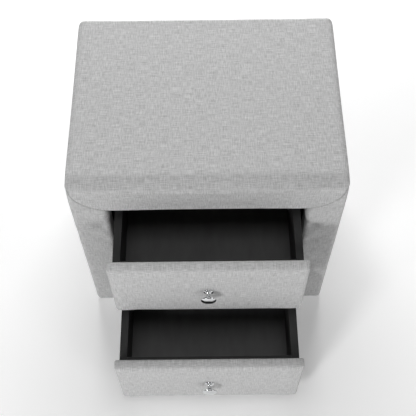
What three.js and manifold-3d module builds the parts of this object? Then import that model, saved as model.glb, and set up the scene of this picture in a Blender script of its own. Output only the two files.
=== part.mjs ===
// Upholstered nightstand with two drawers. Millimetres, +Z up, the drawers open towards -Y.
// The origin is on the floor, under the middle of the carcass. The drawers stand part open:
// DRAWERS gives how far each is pulled out of its closed place.
import * as THREE from "three";
import { mergeVertices } from "three/addons/utils/BufferGeometryUtils.js";
import Module from "manifold-3d";

const wasm = await Module();
wasm.setup();

// ---- Driving dimensions ----
const WIDTH = 500; // over the fabric
const DEPTH = 390; // closed, without the knobs
const HEIGHT = 485;
const GAP = 0.3; // left between pieces that touch

const LIP_BOTTOM = 405; // lower edge of the padded lip over the drawers
const BAY_HALF = 186; // half the clear width between the inner side boards
const TOP_EDGE_RADIUS = 35; // waterfall edge along the front of the top
const SEAM_RADIUS = 75; // curved seam where the top cover meets each side cover
const SIDE_SEAM_Z = 470;

const BOARD = 12; // side boards
const TOP_BOARD = 14.7;
const BASE_BOARD = 16;
const BASE_Z = 4; // underside of the base board
const PAD_SIDE = 6; // foam and fabric on the outer sides
const PAD_FRONT = 7; // foam and fabric on the front faces
const SKIN = 1.7; // fabric alone, where it is turned in and stapled
const CORNER_RADIUS = 10; // upright corners of the covers

const FRONT_HALF = 180.3; // padded drawer front
const FRONT_HEIGHT = 182.4;
const FRONT_DEPTH = 19;
const BOX_HALF = 173; // drawer box, over its sides
const BOX_BOARD = 14;
const BOX_HEIGHT = 100;
const BOX_LENGTH = 340;
const BOX_BELOW_FRONT = 28; // top of the box sides, below the top of the front

const DRAWERS = [
  { name: "upper_drawer", bottom: 218.5, pulled: 120 },
  { name: "lower_drawer", bottom: 32.5, pulled: 236 },
];

const WHEEL_RADIUS = 10;
const WHEEL_WIDTH = 6;
const PIN_RADIUS = 2.5;
const PIN_HEAD_RADIUS = 4.5;
const PIN_HEAD = 0.8; // thickness of a pin's riveted head
const SHEET = 1.2; // runner steel
const KNOB_RADIUS = 14.3;
const KNOB_LENGTH = 22.5;

// ---- Derived places ----
const HALF_W = WIDTH / 2;
const FRONT = -DEPTH / 2;
const BACK = DEPTH / 2;
const SEAM_X = HALF_W - SEAM_RADIUS - 2.5; // centre of the curved seam
const SEAM_Z = LIP_BOTTOM + SEAM_RADIUS;
const OUTER_FACE = HALF_W - PAD_SIDE - GAP; // outer face of the outer side boards
const BOARD_FRONT = FRONT + PAD_FRONT + GAP; // front ends of the side boards
const BOARD_BACK = BACK - SKIN - GAP;
const SIDE_Z = BASE_Z + BASE_BOARD + GAP; // the side boards stand on the base board
const TOP_Z = SIDE_SEAM_Z - TOP_BOARD; // underside of the top board
const PANEL_Y = BOARD_BACK - 3; // the back panel is 3 mm thick
const RETURN_DEPTH = 30; // fabric turned into the bay
const BASE_COVER_TOP = 28.4;
const COVER_BOTTOM = 3.5;
const BACK_FLAP = 215; // the side covers end here, from the middle, on the back

// ---- Materials ----
const material = (color, roughness, metalness = 0) =>
  new THREE.MeshStandardMaterial({ color, roughness, metalness });
const fabric = material(0xb8b8b8, 0.95);
const melamine = material(0x343434, 0.55);
const mdf = material(0xa98a63, 0.85);
const pine = material(0xcfae7c, 0.8);
const hardboard = material(0x2b2926, 0.75);
const nonwoven = material(0x1c1c1c, 0.95);
const runnerSteel = material(0x2a2a2a, 0.45, 0.3);
const nylon = material(0xe8e6df, 0.4);
const chrome = material(0xdcdcdc, 0.08, 1);
const zinc = material(0xb9bcc0, 0.35, 1);
const blackPlastic = material(0x202020, 0.5);

// ---- Shapes ----

// A closed geometry as a manifold solid, for cuts and joins.
function toSolid(geometry) {
  const bare = geometry.clone();
  bare.deleteAttribute("normal");
  bare.deleteAttribute("uv");
  const merged = mergeVertices(bare, 1e-4);
  return new wasm.Manifold(
    new wasm.Mesh({
      numProp: 3,
      vertProperties: new Float32Array(merged.attributes.position.array),
      triVerts: new Uint32Array(merged.index.array),
    }),
  );
}

function toGeometry(solid) {
  const mesh = solid.getMesh();
  const geometry = new THREE.BufferGeometry();
  geometry.setAttribute("position", new THREE.BufferAttribute(mesh.vertProperties, 3));
  geometry.setIndex(new THREE.BufferAttribute(mesh.triVerts, 1));
  geometry.computeVertexNormals();
  return geometry;
}

function boxGeometry(x0, x1, y0, y1, z0, z1) {
  const geometry = new THREE.BoxGeometry(x1 - x0, y1 - y0, z1 - z0);
  geometry.translate((x0 + x1) / 2, (y0 + y1) / 2, (z0 + z1) / 2);
  return geometry;
}

const box = (...sides) => toSolid(boxGeometry(...sides));

// An outline extruded along one axis, from low to high. The outline's own axes are Y and Z
// for an extrusion along X, X and Z for one along Y, and X and Y for one along Z.
function prism(axis, shape, low, high, curveSegments = 8) {
  const geometry = new THREE.ExtrudeGeometry(shape, {
    depth: high - low,
    bevelEnabled: false,
    curveSegments,
  });
  const [x, y, z] = [0, 1, 2].map((i) => new THREE.Vector3().setComponent(i, 1));
  const turn = new THREE.Matrix4();
  if (axis === "x") turn.makeBasis(y, z, x).setPosition(low, 0, 0);
  if (axis === "y") turn.makeBasis(x, z, y.negate()).setPosition(0, high, 0);
  if (axis === "z") turn.makeBasis(x, y, z).setPosition(0, 0, low);
  return toSolid(geometry.applyMatrix4(turn));
}

// A rectangle with its own radius at each corner: low-low, high-low, high-high, low-high.
function roundedRectangle(u0, u1, v0, v1, radii) {
  const corners = [
    [u0, v0, 1, 1],
    [u1, v0, -1, 1],
    [u1, v1, -1, -1],
    [u0, v1, 1, -1],
  ];
  const shape = new THREE.Shape();
  corners.forEach(([u, v, du, dv], i) => {
    const radius = radii[i];
    const start = Math.PI + (i * Math.PI) / 2;
    if (radius > 0) {
      shape.absarc(u + du * radius, v + dv * radius, radius, start, start + Math.PI / 2, false);
    } else if (i === 0) {
      shape.moveTo(u, v);
    } else {
      shape.lineTo(u, v);
    }
  });
  shape.closePath();
  return shape;
}

// A bar of round section along X or Y, centred on the other two coordinates.
function rod(axis, radius, low, high, a, b, sides = 24) {
  const geometry = new THREE.CylinderGeometry(radius, radius, high - low, sides);
  const middle = (low + high) / 2;
  if (axis === "x") {
    geometry.rotateZ(Math.PI / 2);
    geometry.translate(middle, a, b);
  } else {
    geometry.translate(a, middle, b);
  }
  return toSolid(geometry);
}

const cabinet = new THREE.Group();

function add(name, shape, finish, parent = cabinet, mirrored = false) {
  const mesh = new THREE.Mesh(shape.isBufferGeometry ? shape : toGeometry(shape), finish);
  mesh.name = name;
  if (mirrored) mesh.scale.x = -1;
  parent.add(mesh);
  return mesh;
}

// ---- Base: board, padded front edge, dust cover and glides ----
add(
  "base_board",
  boxGeometry(-OUTER_FACE, OUTER_FACE, BOARD_FRONT, BOARD_BACK, BASE_Z, BASE_Z + BASE_BOARD),
  mdf,
);

{
  const outer = roundedRectangle(FRONT, FRONT + 35, 3, BASE_COVER_TOP, [3, 0, 0, 6]);
  const half = BAY_HALF - 3;
  const room = box(
    -WIDTH, WIDTH, BOARD_FRONT - GAP, BACK, BASE_Z - GAP, BASE_Z + BASE_BOARD + GAP,
  );
  add("base_front_cover", prism("x", outer, -half, half).subtract(room), fabric);
}

add("dust_cover", boxGeometry(-212, 212, -158, 160, 3, BASE_Z - GAP), nonwoven);

const GLIDE_X = 226;
const GLIDE_PROFILE = [[0, 0], [8.5, 0], [10, 1.2], [10, 3.7], [0, 3.7]];
for (const [name, x, y] of [
  ["glide_front_left", -GLIDE_X, -172],
  ["glide_front_right", GLIDE_X, -172],
  ["glide_back_left", -GLIDE_X, 176],
  ["glide_back_right", GLIDE_X, 176],
]) {
  const profile = GLIDE_PROFILE.map(([r, h]) => new THREE.Vector2(r, h));
  const glide = new THREE.LatheGeometry(profile, 24).rotateX(Math.PI / 2).translate(x, y, 0);
  add(name, toSolid(glide), blackPlastic);
}

// ---- Sides: two boards on posts, wrapped in one padded cover that turns into the bay ----

// The region of the front that belongs to the top cover, seen from the front, grown by a margin.
function lipOutline(margin) {
  const radius = SEAM_RADIUS + margin;
  const side = SIDE_SEAM_Z - margin;
  const reach = Math.sqrt(radius ** 2 - (SEAM_Z - side) ** 2); // where the seam turns level
  const angle = Math.atan2(side - SEAM_Z, reach);
  const shape = new THREE.Shape();
  shape.moveTo(-WIDTH, HEIGHT + 10);
  shape.lineTo(-WIDTH, side);
  shape.lineTo(-SEAM_X - reach, side);
  shape.absarc(-SEAM_X, SEAM_Z, radius, Math.PI - angle, 1.5 * Math.PI, false);
  shape.absarc(SEAM_X, SEAM_Z, radius, 1.5 * Math.PI, 2 * Math.PI + angle, false);
  shape.lineTo(WIDTH, side);
  shape.lineTo(WIDTH, HEIGHT + 10);
  shape.closePath();
  return shape;
}

const lipRegion = (margin, low, high) => prism("y", lipOutline(margin), low, high, 20);

// The right-hand cover, as a skin that follows the outside of the side boards.
function sideCover() {
  const inner = BAY_HALF - GAP - SKIN - 0.3; // face of the fabric inside the bay
  const turn = 9; // radius of the padded edge beside the bay
  const outline = new THREE.Shape();
  outline.moveTo(BACK_FLAP, BACK);
  outline.lineTo(BACK_FLAP, BACK - SKIN);
  outline.lineTo(OUTER_FACE + GAP, BACK - SKIN);
  outline.lineTo(OUTER_FACE + GAP, FRONT + PAD_FRONT);
  outline.lineTo(BAY_HALF - GAP, FRONT + PAD_FRONT);
  outline.lineTo(BAY_HALF - GAP, FRONT + RETURN_DEPTH);
  outline.lineTo(inner, FRONT + RETURN_DEPTH);
  outline.absarc(inner + turn, FRONT + turn, turn, Math.PI, 1.5 * Math.PI, false);
  const bend = HALF_W - CORNER_RADIUS;
  outline.absarc(bend, FRONT + CORNER_RADIUS, CORNER_RADIUS, 1.5 * Math.PI, 2 * Math.PI, false);
  outline.absarc(bend, BACK - CORNER_RADIUS, CORNER_RADIUS, 0, 0.5 * Math.PI, false);
  outline.closePath();
  const skin = prism("z", outline, COVER_BOTTOM, SIDE_SEAM_Z - GAP);
  const bay = BAY_HALF + GAP;
  const belowBay = box(0, bay, FRONT + PAD_FRONT, 0, 0, BASE_COVER_TOP + GAP);
  const besideBaseCover = box(0, bay - 2, FRONT - 1, 0, 0, BASE_COVER_TOP + GAP);
  const aboveBay = box(0, bay, FRONT - 1, 0, LIP_BOTTOM - GAP, HEIGHT);
  return skin
    .subtract(belowBay)
    .subtract(besideBaseCover)
    .subtract(aboveBay)
    .subtract(lipRegion(GAP, FRONT - 1, FRONT + PAD_FRONT + GAP));
}

const POST = 28; // posts, front to back
for (const [side, mirrored] of [["left", true], ["right", false]]) {
  const boardTop = TOP_Z - GAP;
  const postIn = BAY_HALF + BOARD + GAP;
  const postOut = OUTER_FACE - BOARD - GAP;
  const pieces = {
    inner_board: [BAY_HALF, BAY_HALF + BOARD, BOARD_FRONT, PANEL_Y - GAP, melamine],
    outer_board: [OUTER_FACE - BOARD, OUTER_FACE, BOARD_FRONT, BOARD_BACK, mdf],
    front_post: [postIn, postOut, BOARD_FRONT, BOARD_FRONT + POST, pine],
    rear_post: [postIn, postOut, PANEL_Y - GAP - POST, PANEL_Y - GAP, pine],
  };
  for (const [name, [x0, x1, y0, y1, finish]] of Object.entries(pieces)) {
    const geometry = boxGeometry(x0, x1, y0, y1, SIDE_Z, boardTop);
    add(`${side}_${name}`, geometry, finish, cabinet, mirrored);
  }
  add(`${side}_side_cover`, sideCover(), fabric, cabinet, mirrored);
}

// ---- Top: board, rail behind the lip, and the padded cover with its waterfall front ----
add(
  "top_board",
  boxGeometry(-OUTER_FACE, OUTER_FACE, FRONT + 11, BOARD_BACK, TOP_Z, SIDE_SEAM_Z),
  mdf,
);

const RAIL_BOTTOM = LIP_BOTTOM + 8;
const railHalf = BAY_HALF - GAP;
add(
  "front_rail",
  boxGeometry(-railHalf, railHalf, BOARD_FRONT, BOARD_FRONT + 18, RAIL_BOTTOM, TOP_Z - GAP),
  pine,
);

{
  const seen = HALF_W; // half the width, for the outlines below
  const front = roundedRectangle(-seen, seen, LIP_BOTTOM, HEIGHT, [0, 0, 12, 12]);
  const sideView = roundedRectangle(FRONT, BACK, LIP_BOTTOM, HEIGHT, [3, 0, 8, TOP_EDGE_RADIUS]);
  const plan = roundedRectangle(-seen, seen, FRONT, BACK, Array(4).fill(CORNER_RADIUS));
  const block = prism("x", sideView, -seen, seen, 12)
    .intersect(prism("y", front, FRONT, BACK))
    .intersect(prism("z", plan, LIP_BOTTOM, HEIGHT));
  const pad = box(-seen, seen, FRONT, BACK, SIDE_SEAM_Z + GAP, HEIGHT);
  const lip = lipRegion(0, FRONT, FRONT + PAD_FRONT);
  const underLip = box(
    -railHalf + 3, railHalf - 3, FRONT, FRONT + RETURN_DEPTH, LIP_BOTTOM, RAIL_BOTTOM - GAP,
  );
  const flapHalf = BACK_FLAP - 1;
  const flapBottom = SIDE_SEAM_Z - 30;
  const backFlap = box(-flapHalf, flapHalf, BACK - SKIN, BACK, flapBottom, HEIGHT);
  const joined = pad.add(lip).add(underLip).add(backFlap);
  add("top_cover", block.intersect(joined), fabric);
}

add(
  "back_panel",
  boxGeometry(
    -(OUTER_FACE - BOARD - GAP), OUTER_FACE - BOARD - GAP, PANEL_Y, BOARD_BACK, SIDE_Z, TOP_Z - GAP,
  ),
  hardboard,
);

// ---- Roller runners ----
// A channel on each inner side board carries a wheel at its front; an angle on each drawer side
// carries a wheel at its rear, which rolls in the channel. RUNNER_Z is the channel's underside,
// above the bottom of the drawer front. All are drawn for the right-hand side.
const BOX_TOP = FRONT_HEIGHT - BOX_BELOW_FRONT;
const BOX_BOTTOM = BOX_TOP - BOX_HEIGHT;
const RUNNER_Z = BOX_BOTTOM - 6;
const CHANNEL_HEIGHT = 24.2;
const CHANNEL_FRONT = FRONT + RETURN_DEPTH + 1;
const CHANNEL_BACK = 176;
const FRONT_WHEEL_Y = -152;
const REAR_WHEEL_Y = 150; // with the drawer closed
const FRONT_WHEEL_Z = RUNNER_Z + 15.2;
const REAR_WHEEL_Z = RUNNER_Z + SHEET + GAP + WHEEL_RADIUS;
const CHANNEL_FLOOR = 9.9; // how far the channel's floor and roof stand out from the board
const CHANNEL_ROOF = 7.7;
const ANGLE_WING = 9.7; // the angle's upper edge, towards the channel
const ANGLE_FOOT = 12.3; // its lower edge, under the drawer side
const HEAD_REACH = 9.7; // outer face of the channel's pin head, from the board

function channel() {
  const wall = BAY_HALF - GAP;
  const top = RUNNER_Z + CHANNEL_HEIGHT;
  const web = box(wall - SHEET, wall, CHANNEL_FRONT, CHANNEL_BACK, RUNNER_Z, top);
  const floor = box(
    wall - CHANNEL_FLOOR, wall, CHANNEL_FRONT, CHANNEL_BACK, RUNNER_Z, RUNNER_Z + SHEET,
  );
  const roofFront = FRONT_WHEEL_Y + WHEEL_RADIUS + 4; // the roof stops behind the front wheel
  const roof = box(wall - CHANNEL_ROOF, wall, roofFront, CHANNEL_BACK, top - SHEET, top);
  const end = wall - HEAD_REACH;
  const pin = rod("x", PIN_RADIUS, end + 0.5, wall - 1, FRONT_WHEEL_Y, FRONT_WHEEL_Z);
  const head = rod("x", PIN_HEAD_RADIUS, end, end + PIN_HEAD, FRONT_WHEEL_Y, FRONT_WHEEL_Z);
  return web.add(floor).add(roof).add(pin).add(head);
}

function angle() {
  const face = BOX_HALF + GAP;
  const low = RUNNER_Z + 4.5;
  const high = RUNNER_Z + CHANNEL_HEIGHT + 2.5;
  const [y0, y1] = [FRONT + 23, 160];
  const web = box(face, face + SHEET, y0, y1, low, high);
  const foot = box(face - ANGLE_FOOT, face + SHEET, y0, y1, low, low + SHEET);
  const wing = box(face, face + ANGLE_WING, y0, y1, high - SHEET, high);
  const end = face + ANGLE_WING - 0.4;
  const pin = rod("x", PIN_RADIUS, face + 1, end, REAR_WHEEL_Y, REAR_WHEEL_Z);
  const head = rod("x", PIN_HEAD_RADIUS, end - PIN_HEAD, end, REAR_WHEEL_Y, REAR_WHEEL_Z);
  return web.add(foot).add(wing).add(pin).add(head);
}

function wheel(x, y, z) {
  const tread = rod("x", WHEEL_RADIUS, x, x + WHEEL_WIDTH, y, z, 32);
  return tread.subtract(rod("x", PIN_RADIUS + 0.4, x - 1, x + WHEEL_WIDTH + 1, y, z));
}

// ---- Drawers ----
// Each is drawn closed, with the bottom of its front at z = 0, in a group that places it.
const KNOB_Z = FRONT_HEIGHT / 2;
const BOX_FRONT_Y = FRONT + FRONT_DEPTH + GAP;
const BOX_BACK_Y = BOX_FRONT_Y + BOX_LENGTH;
const FLOOR = 3;
const FLOOR_Z = BOX_BOTTOM + 8; // underside of the drawer bottom
const SCREW_HOLE = 2.4;
const GROOVE = 5; // depth of the groove that holds the bottom
const WRAP = 3.8; // foam and fabric over the edges of a drawer front
const FACE_PAD = 6; // and over its face
const TURNED_IN = 20; // fabric stapled to the back of a drawer front

const screwHole = () => rod("y", SCREW_HOLE, FRONT - 12, BOX_FRONT_Y + 20, 0, KNOB_Z, 16);

function frontCover() {
  const edge = 6;
  const back = FRONT + FRONT_DEPTH;
  const section = roundedRectangle(FRONT, back, 0, FRONT_HEIGHT, [edge, 2, 2, edge]);
  const face = roundedRectangle(-FRONT_HALF, FRONT_HALF, 0, FRONT_HEIGHT, [5, 5, 5, 5]);
  const plan = roundedRectangle(-FRONT_HALF, FRONT_HALF, FRONT, back, [edge, edge, 2, 2]);
  const block = prism("x", section, -FRONT_HALF, FRONT_HALF)
    .intersect(prism("y", face, FRONT, back))
    .intersect(prism("z", plan, 0, FRONT_HEIGHT));
  const half = FRONT_HALF - WRAP;
  const room = box(-half, half, FRONT + FACE_PAD, back - 1, WRAP, FRONT_HEIGHT - WRAP);
  const mouthHalf = FRONT_HALF - TURNED_IN;
  const mouthTop = FRONT_HEIGHT - TURNED_IN;
  const mouth = box(-mouthHalf, mouthHalf, FRONT + FACE_PAD, back + 1, TURNED_IN, mouthTop);
  return block.subtract(room).subtract(mouth).subtract(screwHole());
}

function frontBoard() {
  const edge = WRAP + GAP;
  const half = FRONT_HALF - edge;
  const [y0, y1] = [FRONT + FACE_PAD + GAP, FRONT + FRONT_DEPTH - 1 - GAP];
  const board = box(-half, half, y0, y1, edge, FRONT_HEIGHT - edge);
  return board.subtract(screwHole());
}

// The groove for the drawer bottom, as wide and deep as the whole drawer.
const groove = (half, y0, y1) =>
  box(-half, half, y0, y1, FLOOR_Z - GAP, FLOOR_Z + FLOOR + GAP);

function boxSide() {
  const board = box(
    BOX_HALF - BOX_BOARD, BOX_HALF, BOX_FRONT_Y, BOX_BACK_Y, BOX_BOTTOM, BOX_TOP,
  );
  return board.subtract(groove(BOX_HALF - BOX_BOARD + GROOVE, FRONT, BACK));
}

const inBox = BOX_HALF - BOX_BOARD - GAP; // half the width between the box sides

function boxFront() {
  const y1 = BOX_FRONT_Y + BOX_BOARD;
  const board = box(-inBox, inBox, BOX_FRONT_Y, y1, BOX_BOTTOM, BOX_TOP);
  return board.subtract(groove(BOX_HALF, y1 - GROOVE, y1 + 1)).subtract(screwHole());
}

// A turned knob on a short neck, its axis along Y, its foot against the fabric.
function knob() {
  const profile = new THREE.Path();
  profile.moveTo(0, 0);
  profile.lineTo(9.2, 0);
  profile.quadraticCurveTo(9.8, 1.6, 8.6, 2.6);
  profile.bezierCurveTo(6, 4, 4.2, 5.6, 4, 8);
  profile.bezierCurveTo(4, 10.8, 6.6, 13.4, 11.4, 15.2);
  profile.quadraticCurveTo(KNOB_RADIUS, 16.2, KNOB_RADIUS, 17.8);
  profile.quadraticCurveTo(KNOB_RADIUS, 19.2, 12.6, 20);
  profile.quadraticCurveTo(6.5, KNOB_LENGTH, 0, KNOB_LENGTH);
  const turned = new THREE.LatheGeometry(profile.getPoints(5), 32);
  turned.translate(0, GAP, 0).rotateX(Math.PI).translate(0, FRONT, KNOB_Z);
  const bore = rod("y", SCREW_HOLE, FRONT - 10, FRONT + 1, 0, KNOB_Z, 16);
  return toSolid(turned).subtract(bore);
}

function knobScrew() {
  const headY = BOX_FRONT_Y + BOX_BOARD + GAP;
  const shank = rod("y", 2, FRONT - 9, headY + 1, 0, KNOB_Z, 16);
  return shank.add(rod("y", 4.2, headY, headY + 2.6, 0, KNOB_Z, 20));
}

for (const drawer of DRAWERS) {
  const group = new THREE.Group();
  group.position.set(0, -drawer.pulled, drawer.bottom);
  cabinet.add(group);
  const put = (name, shape, finish, mirrored) =>
    add(`${drawer.name}_${name}`, shape, finish, group, mirrored);

  put("front_cover", frontCover(), fabric);
  put("front_board", frontBoard(), melamine);
  put("knob", knob(), chrome);
  put("knob_screw", knobScrew(), zinc);
  put("box_front", boxFront(), melamine);
  const backZ = FLOOR_Z + FLOOR + GAP;
  put(
    "box_back",
    boxGeometry(-inBox, inBox, BOX_BACK_Y - BOX_BOARD, BOX_BACK_Y, backZ, BOX_TOP),
    melamine,
  );
  const floorHalf = BOX_HALF - BOX_BOARD + GROOVE - GAP;
  const floorFront = BOX_FRONT_Y + BOX_BOARD - GROOVE + GAP;
  put(
    "box_bottom",
    boxGeometry(-floorHalf, floorHalf, floorFront, BOX_BACK_Y, FLOOR_Z, FLOOR_Z + FLOOR),
    melamine,
  );
  for (const [side, mirrored] of [["left", true], ["right", false]]) {
    put(`box_${side}`, boxSide(), melamine, mirrored);
    put(`${side}_angle`, angle(), runnerSteel, mirrored);
    put(`${side}_rear_wheel`, wheel(BOX_HALF + 2.4, REAR_WHEEL_Y, REAR_WHEEL_Z), nylon, mirrored);

    // The channel and its wheel stay in the cabinet, at the same height.
    const fixed = new THREE.Group();
    fixed.position.set(0, 0, drawer.bottom);
    cabinet.add(fixed);
    const prefix = `${drawer.name}_${side}`;
    add(`${prefix}_channel`, channel(), runnerSteel, fixed, mirrored);
    const wheelX = BAY_HALF - 8.4;
    const roller = wheel(wheelX, FRONT_WHEEL_Y, FRONT_WHEEL_Z);
    add(`${prefix}_front_wheel`, roller, nylon, fixed, mirrored);
  }
}

export default cabinet;
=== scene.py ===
import math

import bmesh
import bpy
import numpy as np
from mathutils import Matrix, Vector


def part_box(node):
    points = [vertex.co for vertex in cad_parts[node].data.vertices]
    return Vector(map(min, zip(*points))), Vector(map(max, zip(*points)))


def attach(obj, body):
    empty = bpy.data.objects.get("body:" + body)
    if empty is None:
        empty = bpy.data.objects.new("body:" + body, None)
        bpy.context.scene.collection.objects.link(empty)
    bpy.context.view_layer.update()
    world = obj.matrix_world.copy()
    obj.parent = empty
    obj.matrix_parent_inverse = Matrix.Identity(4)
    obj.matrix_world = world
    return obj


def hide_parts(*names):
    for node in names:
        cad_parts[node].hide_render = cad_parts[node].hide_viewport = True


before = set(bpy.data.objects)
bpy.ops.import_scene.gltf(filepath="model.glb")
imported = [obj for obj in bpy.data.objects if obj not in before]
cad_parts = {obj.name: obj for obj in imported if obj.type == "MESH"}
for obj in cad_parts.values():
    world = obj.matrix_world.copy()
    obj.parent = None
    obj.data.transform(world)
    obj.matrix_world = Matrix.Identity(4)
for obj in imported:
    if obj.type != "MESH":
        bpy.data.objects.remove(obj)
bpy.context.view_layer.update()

MM = 0.001

# ---- Camera ----
# It stands high in front of the open drawers and looks down into them.
camera = bpy.data.objects.new("camera", bpy.data.cameras.new("camera"))
camera.data.lens = 69.31
camera.data.sensor_width = 36
bpy.context.scene.collection.objects.link(camera)
bpy.context.scene.camera = camera

PITCH, YAW, ROLL = (math.radians(a) for a in (60.51, -0.16, -0.79))
forward = Vector((math.sin(YAW) * math.cos(PITCH), math.cos(YAW) * math.cos(PITCH), -math.sin(PITCH)))
level = Vector((math.cos(YAW), -math.sin(YAW), 0))
upright = level.cross(forward)
right = level * math.cos(ROLL) + upright * math.sin(ROLL)
up = upright * math.cos(ROLL) - level * math.sin(ROLL)
CAMERA_PLACE = (0.0029, -0.9106, 1.6767)
camera.matrix_world = Matrix.Translation(CAMERA_PLACE) @ Matrix((
    (right.x, up.x, -forward.x, 0),
    (right.y, up.y, -forward.y, 0),
    (right.z, up.z, -forward.z, 0),
    (0, 0, 0, 1),
))


# ---- Boards of the cabinet ----
# Raw MDF for the base, the top and the outer sides, pine for the posts and the rail, and
# charcoal melamine-faced board towards the drawers. All are glued and stapled into a box.
def linear(code):
    """A colour such as 'b8b8b8', in sRGB hex, as linear RGBA."""
    parts = [int(code[i:i + 2], 16) / 255 for i in (0, 2, 4)]
    return tuple(c / 12.92 if c <= 0.04045 else ((c + 0.055) / 1.055) ** 2.4 for c in parts) + (1,)


def add(tree, kind, inputs=None, **settings):
    """Adds a shader node. An input is a value, or another node's output to link."""
    made = tree.nodes.new("ShaderNode" + kind)
    for name, value in settings.items():
        setattr(made, name, value)
    for socket, value in (inputs or {}).items():
        if isinstance(value, bpy.types.NodeSocket):
            tree.links.new(value, made.inputs[socket])
        else:
            made.inputs[socket].default_value = value
    return made


def new_material(name):
    """An empty material's node tree, and the material."""
    made = bpy.data.materials.new(name)
    made.use_nodes = True
    made.node_tree.nodes.clear()
    return made, made.node_tree


def close_material(tree, **sockets):
    """Ends a tree in a principled shader with these sockets."""
    names = {name.replace("_", " ").title().replace("Ior", "IOR"): value for name, value in sockets.items()}
    shader = add(tree, "BsdfPrincipled", names)
    add(tree, "OutputMaterial", {"Surface": shader.outputs[0]})


def ramp(tree, value, low, high, start=0.3, end=0.7):
    """Turns a pattern's values between start and end into a run from one colour to another."""
    made = add(tree, "ValToRGB", {"Fac": value})
    made.color_ramp.elements[0].position, made.color_ramp.elements[0].color = start, linear(low)
    made.color_ramp.elements[1].position, made.color_ramp.elements[1].color = end, linear(high)
    return made.outputs["Color"]


def grain(tree, size_mm, detail=4, where=None):
    """Noise whose grains measure size_mm along x, y and z."""
    where = where or add(tree, "TexCoord").outputs["Object"]
    scaled = add(tree, "Mapping", {"Vector": where, "Scale": [1 / (s * MM) for s in size_mm]})
    noise = add(tree, "TexNoise", {"Vector": scaled.outputs[0], "Scale": 1, "Detail": detail})
    return noise.outputs["Fac"]


def bump(tree, height, depth_mm, strength=1.0):
    return add(tree, "Bump", {"Height": height, "Distance": depth_mm * MM, "Strength": strength}).outputs[0]


# MDF: pressed wood fibre, sawn and left raw, so it is matt and finely flecked.
mdf, tree = new_material("raw_mdf")
fibres = grain(tree, (1.2, 1.2, 1.2))
close_material(
    tree, base_color=ramp(tree, fibres, "8f7350", "b7986c"), roughness=0.85,
    normal=bump(tree, fibres, 0.15),
)

# Melamine: particle board faced with charcoal resin paper, with a fine pressed grain that gives
# a soft sheen.
melamine, tree = new_material("charcoal_melamine")
close_material(
    tree, base_color=ramp(tree, grain(tree, (9, 30, 9), 5), "303030", "363636"), roughness=0.55,
    specular_ior_level=0.4, normal=bump(tree, grain(tree, (0.6, 7, 0.6), 3), 0.06),
)

# Pine: sawn softwood with the grain along its length, pale between darker bands.
pine, tree = new_material("sawn_pine")
bands = grain(tree, (5, 5, 160), detail=6)
close_material(
    tree, base_color=ramp(tree, bands, "b88f57", "d9bb85"), roughness=0.75,
    normal=bump(tree, bands, 0.3),
)


def dress(material, names, edge_mm=0.5):
    """Gives CAD nodes their finish and eases their sharp edges."""
    for name in names:
        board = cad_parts[name]
        for each in board.material_slots:
            each.material = material
        ease = board.modifiers.new("eased_edges", "BEVEL")
        ease.width = edge_mm * MM
        ease.segments = 2
        ease.limit_method = "ANGLE"
        ease.angle_limit = math.radians(40)


SIDES = ("left", "right")
dress(mdf, ["base_board", "top_board"])
dress(mdf, [f"{side}_outer_board" for side in SIDES])
dress(melamine, [f"{side}_inner_board" for side in SIDES])
dress(pine, ["front_rail"] + [f"{side}_{place}_post" for side in SIDES for place in ("front", "rear")])

# ---- Back panel ----
# A 3 mm sheet of hardboard, painted black, nailed between the side boards.
hardboard, tree = new_material("black_painted_hardboard")
mottle = grain(tree, (6, 6, 6), detail=8)
close_material(
    tree, base_color=ramp(tree, mottle, "1b1a19", "2a2826"), roughness=0.6,
    normal=bump(tree, grain(tree, (0.8, 0.8, 0.8)), 0.08),
)
dress(hardboard, ["back_panel"], 0.3)

# ---- Dust cover ----
# Black non-woven polypropylene stapled under the base. Its pressed dots catch the light.
nonwoven, tree = new_material("black_nonwoven")
where = add(tree, "TexCoord").outputs["Object"]
dots = add(tree, "TexVoronoi", {"Vector": where, "Scale": 1 / (2.5 * MM), "Randomness": 0.15}).outputs[0]
close_material(
    tree, base_color=ramp(tree, dots, "0e0e0e", "202020", 0.1, 0.6), roughness=0.9,
    normal=bump(tree, dots, 0.2),
)
dress(nonwoven, ["dust_cover"], 0.1)

# ---- Glides ----
# Four moulded plastic discs nailed under the corners, 3 mm proud of the dust cover.
moulded, tree = new_material("black_polypropylene")
close_material(
    tree, base_color=ramp(tree, grain(tree, (3, 3, 3)), "161616", "1f1f1f"), roughness=0.45,
    normal=bump(tree, grain(tree, (0.5, 0.5, 0.5)), 0.03),
)


def mesh_piece(name, points, faces, material):
    """A new object from points and faces, with smooth shading."""
    mesh = bpy.data.meshes.new(name)
    mesh.from_pydata([tuple(p) for p in points], [], faces)
    mesh.materials.append(material)
    mesh.shade_smooth()
    piece = bpy.data.objects.new(name, mesh)
    bpy.context.scene.collection.objects.link(piece)
    return piece


def turned(name, profile_mm, material, centre, axis, steps=64):
    """A lathe-turned piece: profile_mm lists (radius, distance along the axis)."""
    angles = np.arange(steps) * 2 * math.pi / steps
    points = [(r * math.cos(a), r * math.sin(a), h) for r, h in profile_mm for a in angles]
    count = len(profile_mm)
    faces = []
    for ring in range(count - 1):
        for i in range(steps):
            j = (i + 1) % steps
            faces.append((ring * steps + i, ring * steps + j, (ring + 1) * steps + j, (ring + 1) * steps + i))
    piece = mesh_piece(name, np.array(points) * MM, faces, material)
    turn = Vector((0, 0, 1)).rotation_difference(Vector(axis)).to_matrix().to_4x4()
    body = bmesh.new()
    body.from_mesh(piece.data)
    bmesh.ops.remove_doubles(body, verts=body.verts, dist=1e-6)
    bmesh.ops.recalc_face_normals(body, faces=body.faces)
    body.transform(Matrix.Translation(centre) @ turn)
    body.to_mesh(piece.data)
    body.free()
    piece.data.shade_smooth()
    return piece


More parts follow.
